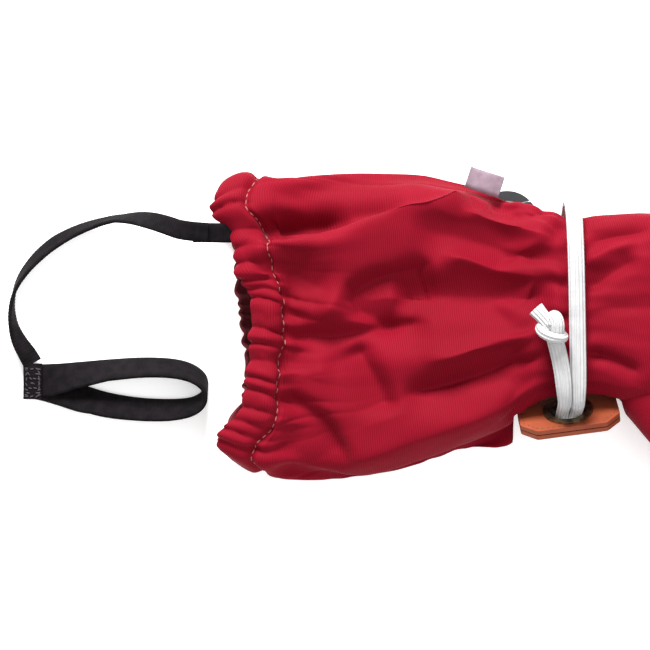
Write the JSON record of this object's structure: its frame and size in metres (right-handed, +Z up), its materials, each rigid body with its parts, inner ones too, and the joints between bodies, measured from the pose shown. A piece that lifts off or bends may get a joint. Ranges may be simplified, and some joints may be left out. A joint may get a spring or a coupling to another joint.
{
  "type": "ski mitten",
  "caption": "Padded child's ski mitten with a gathered cuff, a wrist cord held by a leather cord lock, an elastic wrist leash and a pairing clip.",
  "frame": {"origin": "middle of the flat palm patch's underside, on the surface the mitten lies on", "axes": "+X from the cuff to the finger tips, +Z up through the back of the hand, the thumb points towards +X and -Y"},
  "size_m": [0.3431, 0.1361, 0.0461],
  "materials": {
    "shell_fabric": "matte",
    "lining_fleece": "matte",
    "padding": "matte",
    "palm_leather": "matte",
    "white_cord": "matte",
    "tab_leather": "satin",
    "antique_brass": "satin",
    "grip_rubber": "matte",
    "black_webbing": "matte",
    "label_fabric": "matte",
    "black_plastic": "gloss"
  },
  "bodies": {
    "mitten": {"cuff_back_panel": "shell_fabric", "cuff_palm_panel": "shell_fabric", "hand_back_panel": "shell_fabric", "hand_palm_panel": "shell_fabric", "thumb_back_panel": "shell_fabric", "thumb_palm_panel": "shell_fabric", "palm_patch": "palm_leather", "hand_insulation": "padding", "thumb_insulation": "padding", "hand_lining": "lining_fleece", "thumb_lining": "lining_fleece", "cuff_lining": "lining_fleece", "hem_casing": "shell_fabric", "hem_elastic": "padding", "wrist_cord": "white_cord", "cord_knot": "white_cord", "cord_tail": "white_cord", "cord_anchor": "shell_fabric", "leash_anchor": "black_webbing", "side_label": "label_fabric", "clip_tape": "black_webbing"},
    "cord_lock": {"lock_tab_upper": "tab_leather", "lock_tab_lower": "tab_leather", "lock_eyelet": "antique_brass", "lock_washer": "antique_brass", "lock_grip_disc": "grip_rubber"},
    "leash": {"leash_strap": "black_webbing", "leash_box_stitch": "black_webbing"},
    "wrist_loop": {"leash_wrist_loop": "black_webbing"},
    "pair_clip": {"clip_frame": "black_plastic"},
    "clip_gate": {"clip_gate": "black_plastic"}
  },
  "joints": [
    {"name": "lock_slide", "type": "slide", "parent": "mitten", "child": "cord_lock", "axis": [0, -0.3, -0.9539], "range_m": [0, 0.0036]},
    {"name": "leash_swing", "type": "hinge", "parent": "mitten", "child": "leash", "pos_m": [-0.202, 0.0304, 0.03], "axis": [0, 0, 1], "range_deg": [-40, 0]},
    {"name": "wrist_loop_swing", "type": "hinge", "parent": "leash", "child": "wrist_loop", "pos_m": [-0.2643, -0.023, 0.003], "axis": [0, 0, 1], "range_deg": [-12, 20]},
    {"name": "clip_swing", "type": "hinge", "parent": "mitten", "child": "pair_clip", "pos_m": [-0.092, 0.024, 0.002], "axis": [0, 0, 1], "range_deg": [-25, 38]},
    {"name": "clip_gate_turn", "type": "hinge", "parent": "pair_clip", "child": "clip_gate", "pos_m": [-0.08188, 0.03168, 0.0018], "axis": [0, 0, 1], "range_deg": [0, 20], "stiffness_Nm_per_rad": 0.002}
  ]
}
